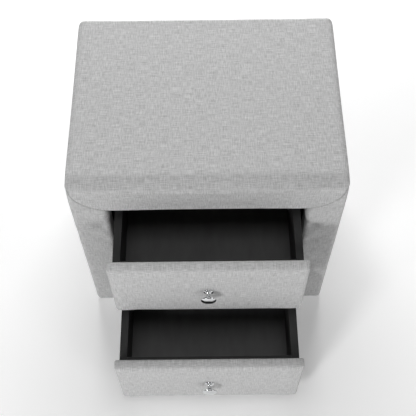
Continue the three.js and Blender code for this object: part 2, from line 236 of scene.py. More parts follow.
def rounded_profile(corners, radius, steps=4):
    """An open outline of (radius, height) corners whose inner corners are rounded off."""
    points = [corners[0]]
    for before, corner, after in zip(corners, corners[1:], corners[2:]):
        corner = np.array(corner, float)
        arms = [np.array(p, float) - corner for p in (before, after)]
        reach = min([radius] + [np.linalg.norm(a) / 2.1 for a in arms])
        start, end = (corner + a / np.linalg.norm(a) * reach for a in arms)
        for t in np.linspace(0, 1, steps + 1):
            points.append(tuple((1 - t) ** 2 * start + 2 * t * (1 - t) * corner + t ** 2 * end))
    return points + [corners[-1]]


GLIDE = rounded_profile([(0, 0.4), (2.6, 0.4), (3.4, 0), (8.6, 0), (10, 1.2), (10, 3.7), (0, 3.7)], 0.6)
for name in sorted(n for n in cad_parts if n.startswith("glide")):
    low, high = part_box(name)
    middle = (low + high) / 2
    glide = turned(f"{name}_disc", GLIDE, moulded, (middle.x, middle.y, low.z), (0, 0, 1))
    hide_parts(name)
    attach(glide, "cabinet")


# ---- Cover fabric ----
# Linen-look polyester in a plain weave of slubby yarn, light grey, over foam. Each yarn runs
# thick and thin and light and dark, which makes streaks 1 to 2 cm long in both directions.
# The yarns are 0.7 mm apart, too fine to show, so the streaks are drawn 1 to 2 mm wide.
linen, tree = new_material("linen_look_polyester")
thread = add(tree, "Attribute", attribute_name="thread", attribute_type="GEOMETRY").outputs["Vector"]
sway = add(tree, "TexNoise", {"Vector": thread, "Scale": 1 / (30 * MM), "Detail": 1}).outputs["Color"]
sway = add(tree, "VectorMath", {0: sway, 1: (0.5, 0.5, 0.5)}, operation="SUBTRACT").outputs[0]
sway = add(tree, "VectorMath", {0: sway, "Scale": 3 * MM}, operation="SCALE").outputs[0]
thread = add(tree, "VectorMath", {0: thread, 1: sway}, operation="ADD").outputs[0]
weft_place = add(tree, "VectorMath", {0: thread, 1: (3, 5, 7)}, operation="ADD").outputs[0]
knot_place = add(tree, "VectorMath", {0: thread, 1: (8, 2, 4)}, operation="ADD").outputs[0]
warp = grain(tree, (1.3, 22, 50), 3, thread)
weft = grain(tree, (13, 1.8, 50), 3, weft_place)
knots = grain(tree, (1.3, 1.3, 50), 1, knot_place)
streaks = add(tree, "Math", {0: knots, 1: 0.2}, operation="MULTIPLY").outputs[0]
for yarn, share in ((warp, 0.4), (weft, 0.41)):
    streaks = add(tree, "Math", {0: yarn, 1: share, 2: streaks}, operation="MULTIPLY_ADD").outputs[0]
YARN_SPACING = 0.7 * MM
cells = add(tree, "Mapping", {"Vector": thread, "Scale": [math.pi / YARN_SPACING] * 3}).outputs[0]
cells = add(tree, "SeparateXYZ", {0: cells}).outputs
over = add(tree, "Math", {0: cells[0]}, operation="SINE").outputs[0]
under = add(tree, "Math", {0: cells[1]}, operation="SINE").outputs[0]
weave = add(tree, "Math", {0: over, 1: under}, operation="MULTIPLY").outputs[0]
# Painted shade: down in the gap of a seam, where the fabric lies in the dark, its colour is darkened towards
# 3a3a3a.
painted_seam_shade = add(tree, "Attribute", attribute_name="painted_seam_shade", attribute_type="GEOMETRY").outputs["Fac"]
painted_seam_shade = add(tree, "Math", {0: painted_seam_shade, 1: 0.95}, operation="MULTIPLY").outputs[0]
colour = add(tree, "Mix", {0: painted_seam_shade, 7: linear("3a3a3a")}, data_type="RGBA")
tree.links.new(ramp(tree, streaks, "adadad", "e6e6e6", 0.36, 0.64), colour.inputs[6])
close_material(
    tree, base_color=colour.outputs[2], roughness=0.92,
    sheen_weight=0.15, sheen_roughness=0.5,
    normal=add(tree, "Bump", {
        "Height": weave, "Distance": 0.12 * MM, "Strength": 0.5, "Normal": bump(tree, streaks, 0.4, 0.8),
    }).outputs[0],
)

# The outer shape that all the covers share: square sides, a waterfall edge along the front.
top_low, top_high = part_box("top_cover")
side_low, side_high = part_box("right_side_cover")
HALF, FRONT, BACK, TOP = top_high.x, top_low.y, top_high.y, top_high.z
LIP, HEM = top_low.z, side_low.z
SEAM_TOP = side_high.z
WATERFALL, TOP_EDGE, BACK_EDGE, UPRIGHT, TURN = (r * MM for r in (35, 12, 8, 10, 3))
SOFTEN = 1.5 * MM


def rounded(u, v, low_u, high_u, low_v, high_v, radii):
    """Signed distance to a rectangle: radii are for its low-low, high-low, high-high and low-high corners."""
    in_u, in_v = u - (low_u + high_u) / 2, v - (low_v + high_v) / 2
    radius = np.where(
        in_v < 0, np.where(in_u < 0, radii[0], radii[1]), np.where(in_u < 0, radii[3], radii[2]),
    )
    du = np.abs(in_u) - (high_u - low_u) / 2 + radius
    dv = np.abs(in_v) - (high_v - low_v) / 2 + radius
    outside = np.hypot(np.maximum(du, 0), np.maximum(dv, 0))
    return np.minimum(np.maximum(du, dv), 0) + outside - radius


def outer_shape(p):
    """Signed distance to the upholstered cabinet, with its three outlines melted together."""
    x, y, z = p[:, 0], p[:, 1], p[:, 2]
    outlines = np.array([
        rounded(x, z, -HALF, HALF, HEM, TOP, (TURN, TURN, TOP_EDGE, TOP_EDGE)),
        rounded(y, z, FRONT, BACK, HEM, TOP, (TURN, TURN, BACK_EDGE, WATERFALL)),
        rounded(x, y, -HALF, HALF, FRONT, BACK, (UPRIGHT,) * 4),
    ])
    most = outlines.max(0)
    return most + SOFTEN * np.log(np.exp((outlines - most) / SOFTEN).sum(0)) - SOFTEN * math.log(2)


def slope(p):
    """The outward direction of the outer shape at each point."""
    step = 0.05 * MM
    here = outer_shape(p)
    return np.stack([(outer_shape(p + e) - here) / step for e in np.eye(3) * step], 1)


def settle(p, axes=(0, 1, 2), steps=10):
    """Moves points onto the outer shape, along its slope and only in the axes given."""
    p = p.copy()
    allowed = np.array([axis in axes for axis in range(3)], float)
    for _ in range(steps):
        lean = slope(p) * allowed
        size = np.maximum((lean ** 2).sum(1), 0.05)
        p -= (outer_shape(p) / size)[:, None] * lean
    return p


# The seam: along each side just below the top, then down the front in a quarter circle to the lip.
SEAM_RADIUS = 75 * MM
SEAM_X = HALF - SEAM_RADIUS - 2.5 * MM
SEAM_Z = LIP + SEAM_RADIUS
SEAM_END = math.acos((SEAM_Z - SEAM_TOP) / SEAM_RADIUS)


def seam_height(x):
    """Height of the seam on the front, at a distance x from the middle."""
    reach = np.clip((np.abs(x) - SEAM_X) / SEAM_RADIUS, 0, 1)
    return np.minimum(SEAM_Z - SEAM_RADIUS * np.sqrt(1 - reach ** 2), SEAM_TOP)


def along(points, count):
    """count points spread evenly along a line of points."""
    points = np.array(points, float)
    run = np.concatenate([[0], np.cumsum(np.linalg.norm(np.diff(points, axis=0), axis=1))])
    share = np.linspace(0, 1, count)
    return np.stack([np.interp(share * run[-1], run, points[:, k]) for k in range(points.shape[1])], 1)


def arc(centre, radius, start, end, count=12):
    angles = np.radians(np.linspace(start, end, count))
    return [(centre[0] + radius * math.cos(a), centre[1] + radius * math.sin(a)) for a in angles]


def cloth_grid(name, points, thread_uv):
    """A sheet of quads through a grid of points, with its place along the threads at each point."""
    rows, columns = points.shape[:2]
    index = np.arange(rows * columns).reshape(rows, columns)
    quads = np.stack([index[:-1, :-1], index[:-1, 1:], index[1:, 1:], index[1:, :-1]], -1).reshape(-1, 4)
    piece = mesh_piece(name, points.reshape(-1, 3), quads.tolist(), linen)
    keep_threads(piece, thread_uv.reshape(-1, 2))
    return piece


def keep_threads(piece, thread_uv):
    """Stores where each point lies along the two thread directions, for the weave."""
    made = piece.data.attributes.new("thread", "FLOAT_VECTOR", "POINT")
    made.data.foreach_set("vector", np.pad(thread_uv, ((0, 0), (0, 1))).astype(np.float32).ravel())


# How far from a seam the painted shade in its gap reaches.
GAP_SHADE = 1.6 * MM


def paint_seam_shade(piece, to_seam):
    """Paints shade into the fabric's colour down in the gap of a seam, where the folded edges meet in the
    dark.
    """
    made = piece.data.attributes.new("painted_seam_shade", "FLOAT", "POINT")
    # How strongly the painted seam shade darkens each point: full at the seam, fading within a few mm.
    depth = np.exp(-(np.abs(to_seam).ravel() / GAP_SHADE) ** 2)
    made.data.foreach_set("value", depth.astype(np.float32))


def vertex_array(mesh):
    """The positions of a mesh's points."""
    values = np.zeros(len(mesh.vertices) * 3, np.float32)
    mesh.vertices.foreach_get("co", values)
    return values.reshape(-1, 3).astype(float)


def place_points(mesh, points):
    mesh.vertices.foreach_set("co", points.astype(np.float32).ravel())
    mesh.update()


FRAMES = 16
FOAM_PRESSURE = 2.0


def stuff(piece, held, most_mm):
    """A cloth simulation under pressure along the faces' normals, held still where held is 1. No
    point may move further than most_mm. It pushes the drawer fronts and the base cover out, as foam
    would. The top cover's faces point inwards, so it is pressed in, and the side covers don't move."""
    rest = vertex_array(piece.data)
    group = piece.vertex_groups.new(name="held")
    for i, weight in enumerate(np.clip(held, 0, 1)):
        group.add([i], float(weight), "REPLACE")
    cloth = piece.modifiers.new("cloth", "CLOTH")
    cloth.settings.quality = 6
    cloth.settings.mass = 0.1
    cloth.settings.tension_stiffness = cloth.settings.compression_stiffness = 20
    cloth.settings.shear_stiffness = 8
    cloth.settings.bending_stiffness = 1.5
    cloth.settings.vertex_group_mass = "held"
    cloth.settings.pin_stiffness = 1
    cloth.settings.use_pressure = True
    cloth.settings.uniform_pressure_force = FOAM_PRESSURE
    cloth.settings.effector_weights.gravity = 0
    cloth.collision_settings.use_collision = False
    cloth.point_cache.frame_start = 1
    cloth.point_cache.frame_end = FRAMES
    scene = bpy.context.scene
    for number in range(1, FRAMES + 1):
        scene.frame_set(number)
    shaped = piece.evaluated_get(bpy.context.evaluated_depsgraph_get())
    moved = vertex_array(shaped.data) - rest
    length = np.maximum(np.linalg.norm(moved, axis=1), 1e-9)
    soft_cap = most_mm * MM * np.tanh(length / (most_mm * MM)) / length
    piece.modifiers.remove(cloth)
    piece.vertex_groups.remove(group)
    place_points(piece.data, rest + moved * soft_cap[:, None])
    scene.frame_set(1)


def press_in(piece, dips):
    """Moves each point of a stuffed cover by its own vector: seams and tucks, pulled tight last."""
    place_points(piece.data, vertex_array(piece.data) + dips.reshape(-1, 3))


def finish_cover(piece, thickness_mm=1.2):
    """Gives the sheet its fabric thickness, behind its faces, and one subdivision. Behind is
    outwards on the top and side covers, whose faces point inwards."""
    fine = piece.modifiers.new("fine", "SUBSURF")
    fine.levels = fine.render_levels = 1
    shell = piece.modifiers.new("fabric_thickness", "SOLIDIFY")
    shell.thickness = thickness_mm * MM
    shell.offset = -1


SEAM_DEPTH_MM, GAP_WIDTH_MM, HOLLOW_WIDTH_MM = 5.2, 1.1, 6


def crease(distance, hollow_mm):
    """How deep the fabric dips at a distance from a seam: a soft hollow with a narrow gap in it."""
    far = np.abs(distance) / MM
    gap = (SEAM_DEPTH_MM - hollow_mm) * np.exp(-(far / GAP_WIDTH_MM) ** 1.5)
    return (hollow_mm * np.exp(-(far / HOLLOW_WIDTH_MM) ** 1.3) + gap) * MM


def to_front_seam(p):
    """Distance from points on the front to the curved seam: over 0 inside it, on the top cover."""
    across = np.maximum(np.abs(p[..., 0]) - SEAM_X, 0)
    inside = SEAM_RADIUS - np.hypot(across, p[..., 2] - SEAM_Z)
    past_end = np.maximum(SEAM_X - np.abs(p[..., 0]), 0)
    return np.hypot(inside, past_end) * np.where(inside < 0, -1, 1)


def seam_hold(distance):
    """How firmly the cover is held at a distance from a seam."""
    return np.exp(-(np.maximum(distance, 0) / (5 * MM)) ** 2)


SEAM_CALM = 20 * MM
noise_phases = np.random.default_rng(11).uniform(0, 2 * math.pi, (9, 3))


def unevenness(p, height_mm, length_mm):
    """Slow hollows and swells in the foam, as a height for each point."""
    total = np.zeros(len(p))
    for i, phase in enumerate(noise_phases):
        waves = 2 * math.pi / (length_mm * MM) * (0.6 + 0.12 * i)
        turn = 0.7 * i
        total += np.sin(waves * (p[:, 0] * math.cos(turn) + p[:, 1] * math.sin(turn)) + phase[0]) * np.sin(
            waves * (p[:, 2] * math.cos(turn) - p[:, 1] * 0.6 * math.sin(turn)) + phase[1]
        )
    return total / len(noise_phases) * height_mm * MM


# ---- Top cover ----
# One piece of fabric over 10 mm foam: from the staples at the back over the top, down the
# waterfall edge, and under the lip. It is sewn to each side cover along the curved seam.
FLAP_ROWS, BACK_ROWS, TOP_ROWS, FALL_ROWS, LIP_ROWS = 9, 13, 70, 12, 34


def top_ends():
    """The right-hand end of each row, the middle of that row, and where the row turns between them."""
    edge = HALF - UPRIGHT
    flap_x, flap_z = 214 * MM, 440 * MM
    ends, middles = [], []

    def add_rows(count, end_line, middle_line):
        ends.append(along(end_line, count)[:-1])
        middles.append(along(middle_line, count)[:-1])

    add_rows(
        FLAP_ROWS, [(flap_x, BACK, flap_z), (flap_x, BACK, SEAM_TOP)],
        [(BACK, flap_z), (BACK, SEAM_TOP)],
    )
    corner = [(x, y, SEAM_TOP) for x, y in arc((edge, BACK - UPRIGHT), UPRIGHT, 90, 0)]
    over_back = arc((BACK - BACK_EDGE, TOP - BACK_EDGE), BACK_EDGE, 0, 90)
    add_rows(
        BACK_ROWS, [(flap_x, BACK, SEAM_TOP), *corner],
        [(BACK, SEAM_TOP), *over_back, (BACK - UPRIGHT, TOP)],
    )
    fall_y = FRONT + WATERFALL
    add_rows(
        TOP_ROWS, [(HALF, BACK - UPRIGHT, SEAM_TOP), (HALF, fall_y, SEAM_TOP)],
        [(BACK - UPRIGHT, TOP), (fall_y, TOP)],
    )
    seam_x = SEAM_X + SEAM_RADIUS * math.sin(SEAM_END)
    turn = math.degrees(math.acos((seam_x - edge) / UPRIGHT))
    corner = [(x, y, SEAM_TOP) for x, y in arc((edge, FRONT + UPRIGHT), UPRIGHT, 0, -turn)]
    fall_end = math.degrees(math.asin((SEAM_TOP - TOP + WATERFALL) / WATERFALL))
    add_rows(
        FALL_ROWS, [(HALF, fall_y, SEAM_TOP), *corner],
        arc((fall_y, TOP - WATERFALL), WATERFALL, 90, 180 - fall_end),
    )
    angles = np.linspace(SEAM_END, 0, LIP_ROWS)
    seam = [(SEAM_X + SEAM_RADIUS * math.sin(a), FRONT, SEAM_Z - SEAM_RADIUS * math.cos(a)) for a in angles]
    ends.append(np.array(seam))
    middles.append(np.array([(FRONT, z) for _, _, z in seam]))
    return np.concatenate(ends), np.concatenate(middles)


ends, middles = top_ends()
on_front = (ends[:, 1] <= FRONT + 1e-6) & (ends[:, 2] < SEAM_TOP + 1e-6)
ends = np.where(on_front[:, None], settle(ends, axes=(1,)), ends)
middle_points = np.stack([np.zeros(len(middles)), middles[:, 0], middles[:, 1]], 1)
middle_points = np.where(on_front[:, None], settle(middle_points, axes=(1,)), middle_points)
HALF_COLUMNS, LINE_POINTS = 52, 400
near_seam = np.array([0, 0.7, 1.6, 2.8, 4.5, 7]) * MM
rows = []
for end, middle in zip(ends, middle_points):
    knee = np.array([end[0], middle[1], max(end[2], middle[2])])
    line = along([end, knee, middle], LINE_POINTS)
    run = np.concatenate([[0], np.cumsum(np.linalg.norm(np.diff(line, axis=0), axis=1))])
    spots = np.concatenate([near_seam, np.linspace(near_seam[-1], run[-1], HALF_COLUMNS)[1:]])
    rows.append(np.stack([np.interp(spots, run, line[:, k]) for k in range(3)], 1))
grid = np.array(rows)
shape = grid.shape
settled = settle(grid.reshape(-1, 3)).reshape(shape)
settled[:, 0] = grid[:, 0]
gaps = np.linalg.norm(np.diff(settled, axis=1), axis=2)
from_end = np.concatenate([np.zeros((shape[0], 1)), np.cumsum(gaps, 1)], 1)
to_middle = from_end[:, -1:] - from_end
to_curve = np.minimum(from_end, np.abs(to_front_seam(settled)))
to_seam = np.where(on_front[:, None], to_curve, from_end)
flat = settled.reshape(-1, 3)
outward = slope(flat)
outward /= np.linalg.norm(outward, axis=1)[:, None]
swell = unevenness(flat, 0.7, 90) * np.clip(from_end.ravel() / SEAM_CALM, 0, 1)
dips = (-outward * crease(to_seam.ravel(), 0.3)[:, None]).reshape(shape)
flat = flat + outward * swell[:, None]

# The lower edge of the lip is rounded over and the fabric goes back under it to the rail.
LIP_ROUND, LIP_END, LIP_FADE, STAPLED = 5 * MM, 183 * MM, 20 * MM, 30 * MM
half_grid = flat.reshape(shape)
over_bay = np.clip((LIP_END - half_grid[:, :, 0]) / LIP_FADE, 0, 1)
drop = np.clip((LIP + LIP_ROUND - half_grid[:, :, 2]) / LIP_ROUND, 0, 1)
half_grid[:, :, 1] += np.where(
    on_front[:, None], over_bay * LIP_ROUND * (1 - np.sqrt(1 - np.minimum(drop, 0.98) ** 2)), 0,
)
last = half_grid[-1]
under = []
for y in np.linspace(FRONT + LIP_ROUND + 1 * MM, FRONT + STAPLED, 6):
    row = last.copy()
    row[:, 1] = np.maximum(y, row[:, 1])
    row[:, 2] = LIP + 0.2 * MM
    under.append(row)
half_grid = np.concatenate([half_grid, np.array(under)])
row_run = np.concatenate([[0], np.cumsum(np.linalg.norm(np.diff(half_grid[:, -1], axis=0), axis=1))])
to_middle = np.concatenate([to_middle, np.repeat(to_middle[-1:], len(under), 0)])
to_seam = np.concatenate([to_seam, np.repeat(to_seam[-1:], len(under), 0)])
dips = np.concatenate([dips, np.repeat(dips[-1:], len(under), 0)])
mirror = half_grid[:, -2::-1] * np.array([-1, 1, 1])
whole = np.concatenate([half_grid, mirror], 1)[:, ::-1]
across = np.concatenate([to_middle, -to_middle[:, -2::-1]], 1)[:, ::-1]
down = np.repeat(row_run[:, None], whole.shape[1], 1)
to_seam = np.concatenate([to_seam, to_seam[:, -2::-1]], 1)
dips = np.concatenate([dips, dips[:, -2::-1] * np.array([-1, 1, 1])], 1)[:, ::-1]
top_cover = cloth_grid("top_padded_cover", whole, np.stack([down, across], -1))
row_number = np.arange(whole.shape[0])[:, None]
held = seam_hold(to_seam)
on_back = row_number < FLAP_ROWS + 1
on_rail = row_number >= whole.shape[0] - len(under) - 1
held = np.maximum(held, np.where(on_back | on_rail, 1, 0))
stuff(top_cover, held.ravel(), 3.0)
press_in(top_cover, dips)
# Painted shade in the gap of the seam, darkening the fabric's colour.
paint_seam_shade(top_cover, to_seam)
finish_cover(top_cover)
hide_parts("top_cover")
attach(top_cover, "cabinet")

# ---- Side covers ----
# One piece of fabric a side, over 6 mm foam: stapled inside the bay, round the column beside
# the drawers, back along the side and stapled to the back. Its hem is turned under the base.
bay_return = side_low.x
COLUMN_TURN = 9 * MM
BACK_FLAP_X = 215 * MM
COLUMN_STEP = 5.5 * MM
SEAM_ROOM = 0.3 * MM
turn_centre = (bay_return + COLUMN_TURN, FRONT + COLUMN_TURN)
path = [(bay_return, FRONT + STAPLED)]
path += arc(turn_centre, COLUMN_TURN, 180, 270, 9)
path += arc((HALF - UPRIGHT, FRONT + UPRIGHT), UPRIGHT, 270, 360, 9)
path += arc((HALF - UPRIGHT, BACK - UPRIGHT), UPRIGHT, 0, 90, 9)
path += [(BACK_FLAP_X, BACK)]
path = np.array(path)
path_run = np.concatenate([[0], np.cumsum(np.linalg.norm(np.diff(path, axis=0), axis=1))])
spots = []
for start, end in zip(path_run, path_run[1:]):
    spots.extend(np.linspace(start, end, max(1, round((end - start) / COLUMN_STEP)) + 1)[:-1])
spots = np.array(spots + [path_run[-1]])
plan = np.stack([np.interp(spots, path_run, path[:, k]) for k in range(2)], 1)
in_bay = (plan[:, 0] < HALF - UPRIGHT) & (plan[:, 1] < 0)
beside = (plan[:, 1] > FRONT + COLUMN_TURN) & ~in_bay
edge_height = np.where(beside, SEAM_TOP, seam_height(plan[:, 0])) - SEAM_ROOM

# The rows are even up to just below the seam, then close together.
EVEN_ROWS, EVEN_SHARE, SIDE_HEIGHT = 74, 0.965, 466 * MM
below_seam = np.array([14, 10, 7, 4.5, 2.8, 1.6, 0.7, 0]) * MM
rise = np.concatenate([np.linspace(0, 1, EVEN_ROWS)[:-1] * EVEN_SHARE, 1 - below_seam / SIDE_HEIGHT])
HEM_RISE = 4 * MM
ON_OUTLINE_X = 205 * MM

# Inside the bay the fabric is pulled tight staple by staple, which leaves tucks across the edge:
# for each side, the height of a tuck, its half width and how deep it is (below 0: a bulge).
TUCKS_MM = {
    "left": [(385, 13, -2.6), (346, 11, 6.0), (318, 13, -2.4), (290, 8, 3.0), (262, 12, -1.6), (228, 8, 2.8),
             (176, 9, 2.4), (140, 14, -1.6), (104, 8, 2.8), (60, 9, 2.0)],
    "right": [(380, 14, -2.6), (340, 11, 5.4), (312, 12, -2.0), (282, 8, 2.8), (243, 9, 2.4), (210, 12, -1.6),
              (165, 8, 2.8), (118, 9, 2.0), (82, 12, -1.6), (48, 7, 2.2)],
}
TUCK_AT, TUCK_REACH, TUCK_SLANT = 44 * MM, 15 * MM, 0.25

# The hem under the base: how far each row is turned in, and its height.
HEM_MM = [(30, 0.4), (18, 0.4), (8, 0.35), (3, 0.1), (1, 1.2)]

# Behind the base cover the side cover draws back, to leave it room.
BASE_COVER_TOP, BASE_COVER_BACK, BASE_COVER_END, BASE_REACH = 28.7 * MM, 6.7 * MM, 184.6 * MM, 190 * MM

# Each cover is cut from another place of the cloth, so that no two show the same weave.
SIDE_PATTERN = 0.9
for side, sign in (("left", -1), ("right", 1)):
    heights = HEM + HEM_RISE + (edge_height - HEM - HEM_RISE)[None] * rise[:, None]
    grid = np.zeros(heights.shape + (3,))
    grid[:, :, 0], grid[:, :, 1], grid[:, :, 2] = plan[None, :, 0], plan[None, :, 1], heights
    shape = grid.shape
    flat = grid.reshape(-1, 3)
    outer = np.broadcast_to(plan[None, :, 0] > ON_OUTLINE_X, shape[:2]).ravel()
    flat = np.where(outer[:, None], settle(flat), flat)
    tangent = np.gradient(plan, spots, axis=0)
    inner_normal = np.stack([tangent[:, 1], -tangent[:, 0], np.zeros(len(plan))], 1)
    inner_normal /= np.linalg.norm(inner_normal, axis=1)[:, None]
    inner_normal = np.broadcast_to(inner_normal[None], shape).reshape(-1, 3)
    outward = np.where(outer[:, None], slope(flat), inner_normal)
    outward /= np.linalg.norm(outward, axis=1)[:, None]
    to_seam = edge_height[None] - heights
    on_column = (plan[None, :, 1] < FRONT + UPRIGHT) & (plan[None, :, 0] > bay_return + 1 * MM)
    to_curve = np.minimum(to_seam, np.maximum(-to_front_seam(grid), 0))
    to_seam = np.where(on_column, to_curve, to_seam).ravel()
    shifted = flat * np.array([sign, 1, 1]) + np.array([0.37, 0.11, 0.05]) * sign
    swell = unevenness(shifted, 0.7, 80) * np.clip(to_seam / SEAM_CALM, 0, 1)
    not_on_back = np.broadcast_to(plan[None, :, 1] < BACK - 1 * MM, shape[:2]).ravel()
    seam_dip = crease(to_seam, 2.2) * not_on_back
    across_edge = np.exp(-((spots - TUCK_AT) / TUCK_REACH) ** 2)
    slant = TUCK_SLANT * (spots[None] - TUCK_AT)
    tucks = sum(
        depth * MM * np.exp(-((heights - at * MM - slant) / (half * MM)) ** 2)
        for at, half, depth in TUCKS_MM[side]
    )
    dips = (-outward * (seam_dip + (tucks * across_edge[None]).ravel())[:, None]).reshape(shape)
    flat = flat + outward * swell[:, None]
    body_grid = flat.reshape(shape)
    inward = np.clip(spots / (34 * MM), 0, 1) * np.clip((path_run[-1] - spots) / (12 * MM), 0, 1)
    hem = []
    for turned_in, height in HEM_MM:
        row = body_grid[0] - inner_normal.reshape(shape)[0] * (turned_in * MM * inward)[:, None]
        row[:, 2] = HEM - 0.1 * MM + height * MM
        hem.append(row)
    body_grid = np.concatenate([np.array(hem), body_grid])
    x, y, z = (body_grid[:, :, k] for k in range(3))
    behind_base = (z < BASE_COVER_TOP) & (x < BASE_REACH)
    x[behind_base] = np.maximum(x[behind_base], BASE_COVER_END)
    y[behind_base] = np.minimum(y[behind_base], FRONT + BASE_COVER_BACK)
    body_grid = body_grid * np.array([sign, 1, 1])
    dips = np.concatenate([np.zeros((len(hem),) + shape[1:]), dips]) * np.array([sign, 1, 1])
    across = np.broadcast_to(spots[None], body_grid.shape[:2]) * sign + sign * SIDE_PATTERN
    turned_under = np.concatenate([[turned_in for turned_in, _ in HEM_MM], np.zeros(shape[0])])
    down = body_grid[:, :, 2] - turned_under[:, None] * MM
    if sign > 0:
        body_grid, across, down, dips = (each[:, ::-1] for each in (body_grid, across, down, dips))
    cover = cloth_grid(f"{side}_side_padded_cover", body_grid, np.stack([across, down], -1))
    held = seam_hold(to_seam).reshape(shape[:2])
    held = np.concatenate([np.ones((len(hem), shape[1])), held])
    held[:len(hem) + 2] = 1
    edge_hold = (spots < 14 * MM) | (spots > path_run[-1] - 20 * MM)
    held = np.where(edge_hold[None], 1, held)
    if sign > 0:
        held = held[:, ::-1]
    stuff(cover, held.ravel(), 2.2)
    press_in(cover, dips)
    seam_line = np.concatenate([np.ones((len(hem), shape[1])), to_seam.reshape(shape[:2])])
    # Painted shade in the gap of the seam, as on the top cover.
    paint_seam_shade(cover, seam_line[:, ::-1] if sign > 0 else seam_line)
    finish_cover(cover)
    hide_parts(f"{side}_side_cover")
    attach(cover, "cabinet")

# ---- Base front cover ----
# A strip of the same fabric over thin foam, round the front edge of the base board.
strip_low, strip_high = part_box("base_front_cover")
EDGE = 5 * MM
section = [(strip_high.y, strip_low.z + 0.2 * MM)]
section += arc((FRONT + TURN, strip_low.z + TURN), TURN, 270, 180, 6)
section += arc((FRONT + EDGE, strip_high.z - EDGE), EDGE, 180, 90, 7)
section += [(strip_high.y, strip_high.z)]
section = along(section, 40)
strip_x = np.linspace(strip_low.x, strip_high.x, 80)
grid = np.zeros((len(section), len(strip_x), 3))
grid[:, :, 0] = strip_x[None]
grid[:, :, 1] = section[:, None, 0]
grid[:, :, 2] = section[:, None, 1]
STRIP_RUN, STRIP_PATTERN = 95 * MM, 2.2
run = np.linspace(0, STRIP_RUN, len(section))
thread_uv = np.stack(np.broadcast_arrays(strip_x[None] + STRIP_PATTERN, run[:, None]), -1)
base_cover = cloth_grid("base_front_padded_cover", grid, thread_uv)
held = np.broadcast_to(((section[:, 0] > FRONT + 12 * MM)[:, None]), grid.shape[:2]).astype(float)
held = np.maximum(held, (np.abs(strip_x) > strip_high.x - 4 * MM)[None])
stuff(base_cover, held.ravel(), 1.0)
finish_cover(base_cover)
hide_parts("base_front_cover")
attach(base_cover, "cabinet")

# ---- Runners ----
# Roll-formed steel channels and angles with a baked black epoxy coat, slightly orange-peeled,
# each with a nylon wheel on a riveted pin.
epoxy, tree = new_material("black_epoxy_coated_steel")
peel = grain(tree, (1.5, 1.5, 1.5), 2)
close_material(
    tree, base_color=ramp(tree, grain(tree, (20, 20, 20)), "101010", "181818"), metallic=0.2,
    roughness=0.38, normal=bump(tree, peel, 0.05),
)
runners = [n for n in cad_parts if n.endswith("_channel") or n.endswith("_angle")]
dress(epoxy, runners, 0.3)

nylon, tree = new_material("white_nylon")
close_material(
    tree, base_color=ramp(tree, grain(tree, (4, 4, 4)), "d6d3ca", "e4e1d8"), roughness=0.42,
    subsurface_weight=0.1, normal=bump(tree, grain(tree, (0.6, 0.6, 0.6)), 0.03),
)
WHEEL = [(2.9, 0), (4.6, 0), (4.6, 0.8), (7.6, 0.8), (7.6, 0), (10, 0), (10, 6), (7.6, 6), (7.6, 5.2),
         (4.6, 5.2), (4.6, 6), (2.9, 6), (2.9, 0)]
for name in sorted(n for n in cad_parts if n.endswith("_wheel")):
    low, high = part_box(name)
    middle = (low + high) / 2
    hub = (low.x, middle.y, middle.z)
    wheel = turned(f"{name}_tyre", rounded_profile(WHEEL, 0.5, 2), nylon, hub, (1, 0, 0), 48)
    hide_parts(name)
    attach(wheel, name)

# ---- Drawer boxes ----
# The same melamine-faced board. The bottom is a thin sheet in a groove, and its printed foil is
# slightly paler.
foil, tree = new_material("charcoal_printed_foil")
close_material(
    tree, base_color=ramp(tree, grain(tree, (14, 50, 14), 5), "606060", "686868"), roughness=0.5,
    normal=bump(tree, grain(tree, (0.6, 7, 0.6), 3), 0.04),
)
DRAWERS = ("upper_drawer", "lower_drawer")
for drawer in DRAWERS:
    dress(melamine, [f"{drawer}_box_{part}" for part in ("front", "back", "left", "right")])
    dress(foil, [f"{drawer}_box_bottom"])
    dress(melamine, [f"{drawer}_front_board"])

# ---- Drawer fronts ----
# Melamine-faced board under thin foam, wrapped in the same fabric, which is turned over the
# edges and stapled at the back. The knob's foot pulls it in a little.


def box_grid(low, high, step):
    """The faces of a box cut into a grid, as a bmesh."""
    body = bmesh.new()
    bmesh.ops.create_cube(body, size=1)
    size = high - low
    for vert in body.verts:
        vert.co = Vector(low[k] + (vert.co[k] + 0.5) * size[k] for k in range(3))
    for axis in range(3):
        for place in np.arange(low[axis] + step, high[axis] - step / 2, step):
            point = [0, 0, 0]
            point[axis] = place
            normal = [float(k == axis) for k in range(3)]
            bmesh.ops.bisect_plane(
                body, geom=body.verts[:] + body.edges[:] + body.faces[:], plane_co=point, plane_no=normal,
            )
    return body


